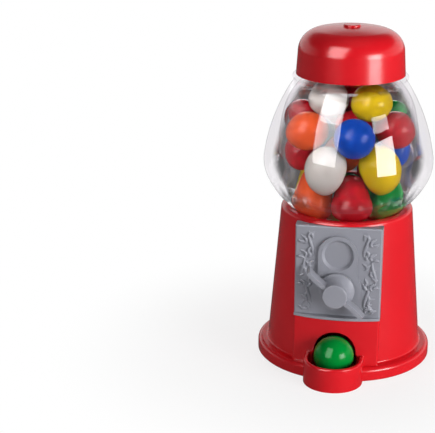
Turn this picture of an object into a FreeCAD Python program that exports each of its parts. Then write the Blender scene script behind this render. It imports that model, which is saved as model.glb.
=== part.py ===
import FreeCAD, Part
import math
import os
import re

import Sketcher

# A small table-top gumball machine. Millimetres, +Z up, the front faces -Y, and the origin is
# the middle of the underside, on the axis of the round base, the globe and the lid.

# Driving dimensions, one sheet cell each
SIZES = {
    # Gumballs
    "ball_radius": 8.2,
    "ball_gap": 0.12,
    "ball_setback": 3.8,
    # Base shell
    "flange_ledge": 1.6,
    "flange_height": 5.5,
    "flange_round": 1.8,
    "flange_edge": 0.5,
    "foot_radius": 32.0,
    "foot_round": 0.8,
    "rim_land": 1.65,
    "seat_depth": 5.0,
    "rim_round": 1.4,
    "seat_round": 1.0,
    "shell_wall": 1.8,
    "shelf_bore": 21.6,
    "shelf_thickness": 3.6,
    # Front block below the plate, the tray and its mouth
    "block_front": 30.3,
    "block_bow": 58.0,
    "block_back": 22.0,
    "block_edge": 1.0,
    "tray_reach": 47.5,
    "tray_radius": 12.0,
    "tray_height": 10.0,
    "tray_wall": 1.8,
    "tray_floor": 2.0,
    "tray_round": 0.8,
    "mouth_room": 0.4,
    # Face plate
    "plate_half_width": 17.5,
    "plate_front": 27.1,
    "plate_depth": 2.7,
    "plate_below_axle": 12.8,
    "plate_below_rim": 1.4,
    "plate_gap": 0.1,
    "plate_edge": 0.7,
    "sill_thickness": 1.1,
    "panel_height": 1.1,
    "panel_radius": 9.7,
    "arch_radius": 8.0,
    "dish_lift": 14.4,
    "dish_radius": 6.5,
    "dish_floor_radius": 5.5,
    "dish_depth": 1.2,
    "plate_screw_offset": 11.0,
    "plate_screw_inset": 5.0,
    "plate_screw_lift": 4.3,
    # Handle, shaft and dispensing wheel
    "housing_floor": 14.6,
    "axle_radius": 2.5,
    "running_gap": 0.06,
    "axle_wall_gap": 1.6,
    "washer_thickness": 0.4,
    "washer_radius": 5.2,
    "handle_gap": 0.05,
    "hub_front": 37.2,
    "hub_radius": 5.0,
    "hub_edge": 0.5,
    "bell_radius": 7.2,
    "bell_rim": 1.4,
    "bell_sweep": 6.5,
    "hub_neck": 2.6,
    "axle_bite": 5.5,
    "wing_reach": 15.6,
    "wing_front_reach": 13.7,
    "wing_thickness": 1.7,
    "wing_clearance": 2.3,
    "wing_front_step": 0.9,
    "wing_bow": 26.0,
    "handle_angle": 38.0,
    "wheel_half_width": 9.7,
    "wheel_rim": 1.6,
    "wheel_back": 2.0,
    "wheel_hub": 4.8,
    "pocket_room": 0.4,
    "pocket_wall": 1.4,
    "pocket_hub_wall": 0.9,
    "pin_radius": 0.75,
    "pin_inset": 0.2,
    "clip_radius": 4.2,
    "clip_thickness": 0.8,
    "axle_tail": 1.4,
    # Wheel housing, hopper and chute
    "wheel_gap": 0.4,
    "side_gap": 0.3,
    "housing_wall": 1.4,
    "cover_wall": 1.6,
    "bearing_radius": 5.0,
    "bearing_length": 3.4,
    "window_half_width": 9.2,
    "axle_window": 5.6,
    "ear_reach": 24.6,
    "ear_half_width": 5.4,
    "ear_thickness": 5.0,
    "ear_screw_offset": 22.9,
    "ear_screw_spread": 2.9,
    "lug_circle": 22.4,
    "lug_radius": 2.4,
    "lug_length": 9.0,
    "lug_high_angle": 14.0,
    "lug_low_angle": 26.0,
    "throat_radius": 9.4,
    "throat_lift": 1.0,
    "hopper_flange": 1.6,
    "hopper_rise": 2.4,
    "hopper_lip": 0.9,
    "seat_gap": 0.15,
    "hopper_gap": 0.2,
    "chute_half_width": 9.0,
    "chute_wall": 1.0,
    "chute_floor": 1.2,
    "chute_front": 27.6,
    "chute_front_height": 3.6,
    "chute_back": 9.4,
    "chute_back_height": 10.0,
    "chute_nest": 1.4,
    "chute_lug": 5.0,
    # Bottom cover
    "cover_rim": 3.2,
    "cover_thickness": 2.0,
    "cover_flat": 25.6,
    "cover_gap": 0.2,
    "boss_inset": 2.2,
    "boss_radius": 2.8,
    "boss_top": 16.0,
    "boss_angle": 42.0,
    # Self-tapping screws
    "screw_radius": 1.0,
    "screw_head_radius": 1.8,
    "screw_head_height": 1.1,
    "screw_slot": 0.5,
    "cover_screw_length": 8.0,
    "ear_screw_length": 7.6,
    "lug_screw_length": 8.0,
    "plate_screw_length": 4.0,
    "chute_screw_length": 3.6,
    # Globe
    "collar_radius": 23.0,
    "collar_wall": 1.8,
    "collar_drop": 0.3,
    "belt_overhang": 11.7,
    "belt_rise": 19.7,
    "belt_round": 16.0,
    "belt_low_angle": 25.0,
    "belt_high_angle": 8.0,
    "shoulder_radius": 22.4,
    "shoulder_rise": 33.8,
    "lip_radius": 23.5,
    "lip_bevel": 0.4,
    "lip_rise": 1.7,
    "neck_radius": 20.0,
    "neck_wall": 2.0,
    "neck_rise": 5.0,
    "cavity_bulge": 7.4,
    "cavity_lift": 6.0,
    "cavity_overlap": 0.7,
    "cavity_round": 60.0,
    "cavity_angle": 15.0,
    # Lid
    "lid_gap": 0.3,
    "lid_radius": 22.1,
    "lid_taper": 0.6,
    "lid_wall": 1.7,
    "lid_round": 9.0,
    "lid_crown_radius": 80.0,
    "lid_rise": 19.2,
    "stud_radius": 3.45,
    "stud_height": 0.8,
    "stud_edge": 0.4,
}

# Sizes and places that follow from the driving ones
DERIVED = {
    "body_slope": "(foot_radius - rim_radius) / (rim_height - rim_round - flange_height - foot_round)",
    "flange_radius": "foot_radius + foot_round + flange_ledge + flange_round",
    "axle_height": "housing_floor + housing_radius",
    "rim_height": "shelf_top + seat_depth",
    "rim_radius": "seat_bore + seat_round + rim_land + rim_round",
    "plate_plane": "plate_front - plate_depth",
    "plate_bottom": "axle_height - plate_below_axle",
    "plate_top": "rim_height - plate_below_rim",
    "dish_height": "axle_height + dish_lift",
    "plate_screw_high": "shelf_under - plate_screw_inset",
    "plate_screw_low": "plate_bottom + plate_screw_lift",
    "mouth_half_width": "ball_radius + mouth_room",
    "mouth_top": "tray_floor + 2 * mouth_half_width + ball_gap",
    "chute_top": "housing_floor + chute_nest",
    "cover_radius": "flange_radius - cover_rim",
    "boss_circle": "foot_radius - shell_wall - boss_inset",
    "seat_bore": "collar_radius + seat_gap",
    "shelf_top": "axle_height + housing_radius + hopper_gap",
    "shelf_under": "shelf_top - shelf_thickness",
    "tray_centre": "tray_reach - tray_radius",
    "tray_room": "tray_radius - tray_wall",
    "block_centre": "block_bow - block_front",
    "pocket_radius": "ball_radius + pocket_room",
    "pocket_centre": "axle_radius + pocket_hub_wall + pocket_radius",
    "wheel_radius": "pocket_centre + pocket_radius",
    "bore_radius": "wheel_radius + wheel_gap",
    "housing_radius": "bore_radius + housing_wall",
    "bore_half_width": "wheel_half_width + side_gap",
    "housing_front": "bore_half_width + housing_wall",
    "cover_back": "bore_half_width + cover_wall",
    "bearing_back": "cover_back + bearing_length",
    "panel_front": "plate_front + panel_height",
    "washer_front": "panel_front + handle_gap + washer_thickness",
    "handle_back": "washer_front + handle_gap",
    "ear_top": "shelf_under - plate_gap",
    "ear_under": "ear_top - ear_thickness",
    "collar_shoulder": "rim_height - collar_drop",
    "belt_radius": "collar_radius + belt_overhang",
    "belt_height": "collar_shoulder + belt_rise",
    "cavity_radius": "collar_bore + cavity_bulge",
    "cavity_height": "belt_height + cavity_lift",
    "shoulder_height": "belt_height + shoulder_rise",
    "cavity_top": "shoulder_height + cavity_overlap",
    "lip_height": "shoulder_height + lip_rise",
    "neck_top": "lip_height + neck_rise",
    "lid_foot": "lip_height + lid_gap",
    "lid_top": "lid_foot + lid_rise",
    "lid_bore": "neck_radius + lid_gap",
    "lid_side": "lid_radius - lid_taper",
    "crown_centre": "lid_top - lid_crown_radius",
    "collar_bottom": "shelf_top + hopper_flange + plate_gap",
    "collar_bore": "collar_radius - collar_wall",
    "neck_bore": "neck_radius - neck_wall",
    "spigot_radius": "collar_bore - lid_gap",
    "hopper_edge": "spigot_radius - hopper_lip",
    "hopper_top": "shelf_top + hopper_flange + hopper_rise",
    "ball_rest": "tray_floor + ball_radius + ball_gap",
    "ball_place": "tray_reach - tray_wall - ball_radius - ball_setback",
}

NAME = re.compile(r"[a-z][a-z_]+")

doc = FreeCAD.newDocument("gumball_machine")
sheet = doc.addObject("Spreadsheet::Sheet", "sizes")
for row, (word, value) in enumerate(SIZES.items(), start=1):
    sheet.set("A%d" % row, word)
    sheet.set("B%d" % row, str(value))
    sheet.setAlias("B%d" % row, word)
doc.recompute()

ALONG_X = (FreeCAD.Vector(0, 1, 0), 90)
ALONG_Y = (FreeCAD.Vector(1, 0, 0), -90)
SIDES = (("left", "-"), ("right", "+"))


def cells(text):
    """A size formula in words, with each word turned into its sheet cell."""
    def swap(found):
        word = found.group(0)
        if word in DERIVED:
            return "(" + cells(DERIVED[word]) + ")"
        return "sizes." + word if word in SIZES else word
    return NAME.sub(swap, text)


def size(text):
    """The number that a size formula gives now."""
    value = sheet.evalExpression(cells(text))
    return float(getattr(value, "Value", value))


def body_radius_at(height):
    """Outer radius of the tapered base at a height, as a formula."""
    return "(foot_radius - body_slope * (%s - flange_height - foot_round))" % height


def place(item, x="0", y="0", z="0", turn=None):
    """Put an object at a place given by formulas."""
    if turn:
        item.Placement = FreeCAD.Placement(FreeCAD.Vector(), FreeCAD.Rotation(*turn))
    for axis, text in (("x", x), ("y", y), ("z", z)):
        item.setExpression("Placement.Base." + axis, cells(text))
    return item


def primitive(kind, name, **formulas):
    """A Part primitive whose sizes are bound to the sheet."""
    item = doc.addObject("Part::" + kind, name)
    for key, text in formulas.items():
        item.setExpression(key, cells(text))
    return item


def box(name, x, y, z):
    """A box between pairs of formulas along each axis."""
    spans = {key: "(%s) - (%s)" % (pair[1], pair[0])
             for key, pair in (("Length", x), ("Width", y), ("Height", z))}
    return place(primitive("Box", name, **spans), x[0], y[0], z[0])


def post(name, radius, z, x="0", y="0"):
    """An upright cylinder between two heights."""
    item = primitive("Cylinder", name, Radius=radius, Height="(%s) - (%s)" % (z[1], z[0]))
    return place(item, x, y, z[0])


def rod(name, radius, y, x="0", z="axle_height"):
    """A cylinder along Y between two depths."""
    item = primitive("Cylinder", name, Radius=radius, Height="(%s) - (%s)" % (y[1], y[0]))
    return place(item, x, y[0], z, ALONG_Y)


def cone(name, low, high, z, y="0"):
    """An upright cone frustum between two heights."""
    item = primitive("Cone", name, Radius1=low, Radius2=high, Height="(%s) - (%s)" % (z[1], z[0]))
    return place(item, "0", y, z[0])


def joined(name, *items):
    """One solid from several."""
    item = doc.addObject("Part::MultiFuse", name)
    item.Shapes = list(items)
    return item


def shared(name, first, second):
    """What two solids have in common."""
    item = doc.addObject("Part::Common", name)
    item.Base = first
    item.Tool = second
    return item


def less(name, base, *tools):
    """A solid with others cut away."""
    item = doc.addObject("Part::Cut", name)
    item.Base = base
    item.Tool = tools[0] if len(tools) == 1 else joined(name + "_cuts", *tools)
    return item


def rounded(name, base, radius, wanted):
    """A solid with the edges that the test picks rounded off."""
    doc.recompute()
    item = doc.addObject("Part::Fillet", name)
    item.Base = base
    reach = size(radius)
    item.Edges = [(number, reach, reach)
                  for number, edge in enumerate(base.Shape.Edges, start=1) if wanted(edge)]
    return item


def origin_part(body, role):
    """One of a body's own origin planes or axes."""
    return next(part for part in body.Origin.OriginFeatures if part.Role == role)


def bulge_point(start, end, radius, side):
    """A point in the middle of the arc from start to end, whose centre is on the given side."""
    run = end - start
    normal = FreeCAD.Vector(-run.y, run.x, 0).normalize() * (1 if side == "left" else -1)
    rise = radius - math.sqrt(max(radius ** 2 - run.Length ** 2 / 4, 0))
    return (start + end) / 2 - normal * rise


def sketch(body, name, plane, outline):
    """A closed outline of formulas: (x, y) starts a line, (x, y, radius, centre side) an arc."""
    drawing = body.newObject("Sketcher::SketchObject", name)
    drawing.AttachmentSupport = [(origin_part(body, plane), "")]
    drawing.MapMode = "FlatFace"
    corners = [FreeCAD.Vector(size(spot[0]), size(spot[1]), 0) for spot in outline]
    ends = []
    for number, spot in enumerate(outline):
        start, end = corners[number], corners[(number + 1) % len(corners)]
        if len(spot) == 2:
            drawing.addGeometry(Part.LineSegment(start, end), False)
            ends.append((1, 2))
        else:
            middle = bulge_point(start, end, size(spot[2]), spot[3])
            drawing.addGeometry(Part.Arc(start, middle, end), False)
            ends.append((1, 2) if spot[3] == "left" else (2, 1))
    for number, spot in enumerate(outline):
        follower = (number + 1) % len(outline)
        drawing.addConstraint(Sketcher.Constraint(
            "Coincident", number, ends[number][1], follower, ends[follower][0]))
        for key, text, axis in (("X", spot[0], -2), ("Y", spot[1], -1)):
            if text == "0":
                drawing.addConstraint(Sketcher.Constraint("PointOnObject", number, ends[number][0], axis))
                continue
            hold(drawing, "Distance" + key, "%s%d" % (key.lower(), number), text,
                 -1, 1, number, ends[number][0])
        if len(spot) == 4:
            hold(drawing, "Radius", "r%d" % number, spot[2], number)
    return drawing


def hold(drawing, kind, name, text, *where):
    """A named sketch dimension bound to a formula."""
    index = drawing.addConstraint(Sketcher.Constraint(kind, *where, size(text)))
    drawing.renameConstraint(index, name)
    drawing.setExpression("Constraints." + name, cells(text))


def turned(name, plane, outline):
    """A body turned from an outline round its sketch's upright axis."""
    body = doc.addObject("PartDesign::Body", name)
    drawing = sketch(body, name + "_outline", plane, outline)
    turn = body.newObject("PartDesign::Revolution", name + "_turn")
    turn.Profile = drawing
    turn.ReferenceAxis = (drawing, ["V_Axis"])
    turn.Angle = 360
    return body


def padded(body, name, plane, outline, width):
    """Add a pad of an outline to a body, to both sides of the plane alike."""
    pad = body.newObject("PartDesign::Pad", name)
    pad.Profile = sketch(body, name + "_outline", plane, outline)
    pad.SideType = "Symmetric"
    pad.setExpression("Length", cells(width))
    return pad


def pocketed(body, name, plane, outline, width):
    """Cut a pocket of an outline from a body, to both sides of the plane alike."""
    pocket = body.newObject("PartDesign::Pocket", name)
    pocket.Profile = sketch(body, name + "_outline", plane, outline)
    pocket.SideType = "Symmetric"
    pocket.setExpression("Length", cells(width))
    return pocket


def group(name, items):
    """Several solids in one node."""
    item = doc.addObject("Part::Compound", name)
    item.Links = items
    return item


def screw(name, length, turn, x, y, z):
    """A pan-head screw whose shank points along its own +Z, from under the head at the place."""
    shank = primitive("Cylinder", name + "_shank", Radius="screw_radius", Height=length)
    head = place(primitive("Cylinder", name + "_head", Radius="screw_head_radius",
                           Height="screw_head_height"), z="-screw_head_height")
    slot = box(name + "_slot", ("-screw_head_radius", "screw_head_radius"),
               ("-screw_slot / 2", "screw_slot / 2"),
               ("-screw_head_height", "-screw_head_height / 2"))
    return place(less(name, joined(name + "_blank", shank, head), slot), x, y, z, turn)


def arc_step(centre_x, centre_y, radius, angle, sign):
    """A point on a circle at an angle up or down from level, as a pair of formulas."""
    return ("%s + %s * cos(%s)" % (centre_x, radius, angle),
            "%s %s %s * sin(%s)" % (centre_y, sign, radius, angle))


def tangent_radius(joint, normal, end):
    """Radius of the arc that leaves a joint square to a normal and reaches an end, as a formula."""
    run = tuple("((%s) - (%s))" % (end[axis], joint[axis]) for axis in (0, 1))
    return "(%s^2 + %s^2) / (-2 * (%s * (%s) + %s * (%s)))" % (
        run[0], run[1], run[0], normal[0], run[1], normal[1])


def rounded_wall(radius, height, bend, low_angle, high_angle, low_end, high_end):
    """The four spots of a bellied wall going up: low arc, belt arc and high arc, then its end."""
    middle = "%s - %s" % (radius, bend)
    low = arc_step(middle, height, bend, low_angle, "-")
    high = arc_step(middle, height, bend, high_angle, "+")
    low_normal = ("cos(%s)" % low_angle, "-sin(%s)" % low_angle)
    high_normal = ("cos(%s)" % high_angle, "sin(%s)" % high_angle)
    return [low_end + (tangent_radius(low, low_normal, low_end),),
            low + (bend,),
            high + (tangent_radius(high, high_normal, high_end),),
            high_end]


GLOBE_OUTSIDE = rounded_wall("belt_radius", "belt_height", "belt_round", "belt_low_angle",
                             "belt_high_angle", ("collar_radius", "collar_shoulder"),
                             ("shoulder_radius", "shoulder_height"))
GLOBE_INSIDE = rounded_wall("cavity_radius", "cavity_height", "cavity_round", "cavity_angle",
                            "cavity_angle", ("collar_bore", "collar_shoulder"),
                            ("neck_bore", "cavity_top"))


def make_body_shell():
    """The red base: tapered shell with flange and shelf, front block, tray, screw bosses."""
    shell = turned("shell", "XZ_Plane", [
        ("foot_radius - shell_wall", "0"),
        ("flange_radius - flange_edge", "0"),
        ("flange_radius", "flange_edge"),
        ("flange_radius", "flange_height - flange_round", "flange_round", "left"),
        ("flange_radius - flange_round", "flange_height"),
        ("foot_radius + foot_round", "flange_height", "foot_round", "right"),
        ("foot_radius", "flange_height + foot_round"),
        ("rim_radius", "rim_height - rim_round", "rim_round", "left"),
        ("rim_radius - rim_round", "rim_height"),
        ("seat_bore + seat_round", "rim_height", "seat_round", "left"),
        ("seat_bore", "rim_height - seat_round"),
        ("seat_bore", "shelf_top"),
        ("shelf_bore", "shelf_top"),
        ("shelf_bore", "shelf_under"),
        (body_radius_at("shelf_under") + " - shell_wall", "shelf_under"),
        ("foot_radius - shell_wall", "flange_height + foot_round"),
    ])
    half = "plate_half_width"
    low, high = ("block_bow + body_slope * plate_bottom", "block_bow")
    block = rounded("block", shared(
        "block_blank", cone("block_cone", low, high, ("0", "plate_bottom"), "block_centre"),
        box("block_box", ("-" + half, half), ("-block_bow", "-block_back"), ("0", "plate_bottom"))),
        "block_edge", is_front_corner)
    room = shared(
        "block_room", cone("room_cone", low + " - shell_wall", high + " - shell_wall",
                           ("0", "plate_bottom"), "block_centre"),
        box("room_box", ("shell_wall - " + half, half + " - shell_wall"),
            ("-block_bow", "-block_back"), ("cover_thickness", "plate_bottom - shell_wall")))
    wall = shared(
        "plate_wall", cone("wall_cone", body_radius_at("plate_bottom - shell_wall") + " - shell_wall / 2",
                           body_radius_at("shelf_top") + " - shell_wall / 2",
                           ("plate_bottom - shell_wall", "shelf_top")),
        box("wall_box", ("-" + half, half), ("-plate_plane", "shell_wall - plate_plane"),
            ("plate_bottom - shell_wall", "shelf_top")))
    flat = box("plate_flat", ("-%s - plate_gap" % half, half + " + plate_gap"),
               ("-block_bow", "-plate_plane"), ("plate_bottom", "plate_top + plate_gap"))
    bosses = [post("boss_%d" % number, "boss_radius", ("0", "boss_top"), *boss_spot(signs))
              for number, signs in enumerate(CORNERS)]
    pilots = [post("pilot_%d" % number, "screw_radius", ("0", "cover_screw_length + cover_thickness"),
                   *boss_spot(signs)) for number, signs in enumerate(CORNERS)]
    mouth = "mouth_half_width"
    tray_void = joined(
        "tray_void", post("tray_round_void", "tray_room", ("tray_floor", "tray_height"), y="-tray_centre"),
        box("mouth_box", ("-" + mouth, mouth), ("-tray_centre", "-chute_front"),
            ("tray_floor", "mouth_top - " + mouth)),
        rod("mouth_arch", mouth, ("-tray_centre", "-block_back"), z="mouth_top - " + mouth))
    tray_blank = less(
        "tray_blank",
        joined("tray_solid", post("tray_end", "tray_radius", ("0", "tray_height"), y="-tray_centre"),
               box("tray_sides", ("-tray_radius", "tray_radius"), ("-tray_centre", "-chute_front"),
                   ("0", "tray_height"))),
        post("cup_end_void", "tray_room", ("tray_floor", "tray_height"), y="-tray_centre"),
        box("cup_box_void", ("-tray_room", "tray_room"), ("-tray_centre", "-chute_front"),
            ("tray_floor", "tray_height")),
        box("cup_back_void", ("-tray_radius", "tray_radius"), ("-chute_front", "tray_radius"),
            ("0", "tray_height")))
    cup = rounded("tray_cup", tray_blank, "tray_round", is_tray_rim)
    ear_pilots = [post("ear_pilot_%s%s" % names, "screw_radius",
                       ("shelf_under", "ear_under + ear_screw_length"), *spot)
                  for names, spot in ear_spots()]
    plate_holes = [rod("plate_hole_%d" % number, "screw_radius + plate_gap",
                       ("-plate_front", "-block_back"), x, z)
                   for number, (x, z) in enumerate(PLATE_SCREWS)]
    axle_hole = rod("axle_hole", "axle_radius + axle_wall_gap", ("-plate_front", "-block_back"))
    cover_seat = cover_disc("cover_seat", "cover_gap", "-cover_thickness")
    carcass = less("carcass", joined("carcass_solid", shell, block, wall, *bosses),
                   room, flat, tray_void, axle_hole, *plate_holes, *ear_pilots)
    return less("body_shell", joined("body_solid", carcass, cup), cover_seat, *pilots)


def is_front_corner(edge):
    """The two upright corners at the sides of the front block."""
    ends = [vertex.Point for vertex in edge.Vertexes]
    return (len(ends) == 2 and abs(ends[0].z - ends[1].z) > size("plate_bottom") / 2
            and ends[0].y < -size("block_back + shell_wall"))


def is_tray_rim(edge):
    """The long edges round the top of the tray's wall."""
    ends = [vertex.Point for vertex in edge.Vertexes]
    top = size("tray_height")
    return (all(abs(spot.z - top) < 0.01 for spot in ends)
            and edge.Length > size("tray_wall + plate_gap"))


CORNERS = (("-", "-"), ("+", "-"), ("-", "+"), ("+", "+"))
PLATE_SCREWS = [("%splate_screw_offset" % sign, height)
                for sign in "-+" for height in ("plate_screw_low", "plate_screw_high")]


def boss_spot(signs):
    """Place of one bottom-cover screw."""
    return ("%sboss_circle * sin(boss_angle)" % signs[0], "%sboss_circle * cos(boss_angle)" % signs[1])


def ear_spots():
    """Names and places of the four screws that hang the wheel housing from the shelf."""
    for side, sign in SIDES:
        for end, lean in (("_front", "-"), ("_back", "+")):
            yield (side, end), (sign + "ear_screw_offset", lean + "ear_screw_spread")


def lug_spots():
    """Names and places of the four screws that hold the housing's rear cover."""
    for side, sign in SIDES:
        for level, lean, angle in (("_high", "+", "lug_high_angle"), ("_low", "-", "lug_low_angle")):
            yield (side, level), ("%slug_circle * cos(%s)" % (sign, angle),
                                  "axle_height %s lug_circle * sin(%s)" % (lean, angle))


def make_face_plate():
    """The grey plate: a flat front that hugs the round base, a bowed sill and a raised keyhole panel."""
    half = "plate_half_width"
    lower, upper = "plate_bottom + plate_gap", "plate_top"
    blank = rounded("plate_blank", box("plate_box", ("-" + half, half), ("-plate_front", "-block_back"),
                                       (lower, upper)), "plate_edge", is_plate_edge)
    hug = shared(
        "plate_hug", cone("hug_cone", body_radius_at("plate_bottom") + " + plate_gap",
                          body_radius_at("rim_height") + " + plate_gap", ("plate_bottom", "rim_height")),
        box("hug_box", ("-block_bow", "block_bow"), ("-plate_plane - plate_gap", "block_bow"),
            ("plate_bottom", "rim_height")))
    sill = shared(
        "sill", cone("sill_cone", "block_bow", "block_bow - body_slope * sill_thickness",
                     (lower, lower + " + sill_thickness"), "block_centre"),
        box("sill_box", ("-" + half, half), ("-block_bow", "-plate_plane - plate_gap"),
            (lower, lower + " + sill_thickness")))
    panel = joined(
        "panel", rod("panel_disc", "panel_radius", ("-panel_front", "-plate_plane - plate_gap")),
        rod("panel_arch", "arch_radius", ("-panel_front", "-plate_plane - plate_gap"), z="dish_height"),
        box("panel_box", ("-arch_radius", "arch_radius"), ("-panel_front", "-plate_plane - plate_gap"),
            ("axle_height", "dish_height")))
    dish = place(primitive("Cone", "dish", Radius1="dish_radius", Radius2="dish_floor_radius",
                           Height="dish_depth"), "0", "-panel_front", "dish_height", ALONG_Y)
    bore = rod("plate_bore", "axle_radius + running_gap", ("-panel_front", "-block_back"))
    pilots = [rod("plate_pilot_%d" % number, "screw_radius",
                  ("shell_wall - plate_plane - plate_screw_length", "-block_back"), x, z)
              for number, (x, z) in enumerate(PLATE_SCREWS)]
    return less("face_plate", joined("plate_solid", less("plate_body", blank, hug), sill, panel),
                dish, bore, *pilots)


def is_plate_edge(edge):
    """The top and side edges of the plate's front."""
    ends = [vertex.Point for vertex in edge.Vertexes]
    front, base = -size("plate_front"), size("plate_bottom") + 1
    return all(abs(spot.y - front) < 0.01 for spot in ends) and any(spot.z > base for spot in ends)


def make_handle():
    """The grey handle: a bell-shaped hub with two bowed wings, bored for the axle."""
    body = turned("turn_handle", "XY_Plane", [
        ("0", "-hub_front"),
        ("hub_radius - hub_edge", "-hub_front", "hub_edge", "left"),
        ("hub_radius", "hub_edge - hub_front"),
        ("hub_radius", "hub_neck - hub_front", "bell_sweep", "right"),
        ("bell_radius", "-handle_back - bell_rim"),
        ("bell_radius", "-handle_back"),
        ("axle_radius", "-handle_back"),
        ("axle_radius", "-handle_back - axle_bite"),
        ("0", "-handle_back - axle_bite"),
    ])
    reach, thick = "wing_reach", "wing_thickness / 2"
    wing = body.newObject("PartDesign::Pad", "wing")
    wing.Profile = sketch(body, "wing_outline", "XZ_Plane", [
        ("hub_radius - hub_edge", "-" + thick, "wing_bow", "right"),
        (reach, "-wing_thickness"),
        (reach, "0", "wing_bow", "left"),
        ("hub_radius - hub_edge", thick),
    ])
    wing.SideType = "Two sides"
    wing.setExpression("Length", cells("hub_front - wing_front_step"))
    wing.setExpression("Length2", cells("-(handle_back + wing_clearance)"))
    pair = body.newObject("PartDesign::PolarPattern", "wing_pair")
    pair.Originals = [wing]
    pair.Axis = (origin_part(body, "Y_Axis"), [""])
    pair.Angle = 360
    pair.Occurrences = 2
    body.Tip = pair
    trim = body.newObject("PartDesign::Groove", "wing_trim")
    drawing = sketch(body, "wing_trim_outline", "XY_Plane", [
        ("wing_front_reach", "-hub_front"),
        ("2 * wing_reach", "-hub_front"),
        ("2 * wing_reach", "-handle_back"),
        (reach, "-handle_back"),
    ])
    trim.Profile = drawing
    trim.ReferenceAxis = (drawing, ["V_Axis"])
    trim.Angle = 360
    body.Tip = trim
    place(body, z="axle_height", turn=(FreeCAD.Vector(0, 1, 0), size("handle_angle")))
    return body


def make_wheel():
    """The dispensing wheel: a cored drum with one ball pocket, open at its rim and its front."""
    front, floor = "-wheel_half_width", "wheel_half_width - wheel_back"
    drum = rod("drum", "wheel_radius", (front, "wheel_half_width"))
    core = rod("drum_core", "wheel_radius - wheel_rim", (front, floor))
    hub = rod("drum_hub", "wheel_hub", (front, "wheel_half_width"))
    walls = shared("pocket_walls", rod("wall_limit", "wheel_radius", (front, "wheel_half_width")),
                   pocket("pocket_outside", "pocket_radius + pocket_wall", (front, floor)))
    void = pocket("pocket_void", "pocket_radius", (front, floor))
    bore = rod("drum_bore", "axle_radius", (front, "wheel_half_width"))
    pin_hole = pin("pin_hole")
    return less("dispensing_wheel", joined("drum_solid", less("drum_shell", drum, core), hub, walls),
                void, bore, pin_hole)


def pocket(name, half, y):
    """A round-ended slot from the wheel's rim towards its axle, pointing down."""
    return joined(name, rod(name + "_end", half, y, z="axle_height - pocket_centre"),
                  box(name + "_slot", ("-" + half if "+" not in half else "-(%s)" % half, half), y,
                      ("axle_height - wheel_radius - pocket_radius", "axle_height - pocket_centre")))


def pin(name):
    """The cross pin through the wheel's hub and the axle, near the wheel's back."""
    item = primitive("Cylinder", name, Radius="pin_radius", Height="2 * (wheel_hub - pin_inset)")
    return place(item, "pin_inset - wheel_hub", "wheel_half_width - wheel_back / 2", "axle_height", ALONG_X)


def make_axle():
    """The steel axle, drilled for the cross pin and necked for the clip."""
    bar = rod("axle_bar", "axle_radius", ("-handle_back - axle_bite", "bearing_back + axle_tail + clip_thickness"))
    return less("axle", bar, pin("axle_pin_hole"))


def make_clip():
    """The retaining clip pressed on the axle behind the rear bearing."""
    y = ("bearing_back + side_gap", "bearing_back + side_gap + clip_thickness")
    gap = box("clip_gap", ("-axle_radius / 2", "axle_radius / 2"), y,
              ("axle_height - 2 * clip_radius", "axle_height"))
    return less("axle_clip", rod("clip_disc", "clip_radius", y), rod("clip_bore", "axle_radius", y), gap)


def make_washer():
    """The thin friction washer between the handle and the plate."""
    y = ("-washer_front", "washer_thickness - washer_front")
    return less("handle_washer", rod("washer_disc", "washer_radius", y),
                rod("washer_bore", "axle_radius + running_gap", y))


def make_housing():
    """The barrel round the wheel, with ears, lugs, a throat, a drop window and a front wall."""
    barrel = rod("barrel", "housing_radius", ("-housing_front", "bore_half_width"))
    ears = [box("ear_" + side, ("%sear_reach" % sign, "0") if sign == "-" else ("0", "ear_reach"),
                ("-ear_half_width", "ear_half_width"), ("ear_under", "ear_top")) for side, sign in SIDES]
    lugs = [rod("lug_%s%s" % names, "lug_radius", ("bore_half_width - lug_length", "bore_half_width"), *spot)
            for names, spot in lug_spots()]
    bore = rod("barrel_bore", "bore_radius", ("-bore_half_width", "bore_half_width"))
    throat = post("throat_hole", "throat_radius", ("axle_height", "shelf_top"))
    drop = box("drop_window", ("-window_half_width", "window_half_width"), ("-housing_front", "bore_half_width"),
               ("axle_height - housing_radius", "axle_height - pocket_hub_wall"))
    axle_window = rod("axle_window_hole", "axle_window", ("-housing_front", "-bore_half_width"))
    ear_holes = [post("ear_hole_%s%s" % names, "screw_radius + plate_gap", ("ear_under", "ear_top"), *spot)
                 for names, spot in ear_spots()]
    lug_holes = [rod("lug_hole_%s%s" % names, "screw_radius",
                     ("cover_back - lug_screw_length", "bore_half_width"), *spot)
                 for names, spot in lug_spots()]
    return less("wheel_housing", joined("housing_solid", barrel, *ears, *lugs),
                bore, throat, drop, axle_window, *ear_holes, *lug_holes)


def make_housing_cover():
    """The rear cover of the wheel housing, with the axle's rear bearing."""
    y = ("bore_half_width", "cover_back")
    disc = rod("cover_disc", "housing_radius", y)
    bearing = rod("bearing", "bearing_radius", ("bore_half_width", "bearing_back"))
    lugs = [rod("cover_lug_%s%s" % names, "lug_radius", y, *spot) for names, spot in lug_spots()]
    bore = rod("bearing_bore", "axle_radius + running_gap", ("bore_half_width", "bearing_back"))
    holes = [rod("cover_hole_%s%s" % names, "screw_radius + plate_gap", y, *spot)
             for names, spot in lug_spots()]
    return less("housing_cover", joined("housing_cover_solid", disc, bearing, *lugs), bore, *holes)


def make_hopper():
    """The sloping red floor under the globe, with the throat above the wheel."""
    return turned("hopper_floor", "XZ_Plane", [
        ("throat_radius", "shelf_top"),
        ("collar_radius", "shelf_top"),
        ("collar_radius", "shelf_top + hopper_flange"),
        ("spigot_radius", "shelf_top + hopper_flange"),
        ("spigot_radius", "hopper_top"),
        ("hopper_edge", "hopper_top"),
        ("throat_radius", "shelf_top + throat_lift"),
    ])


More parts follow.
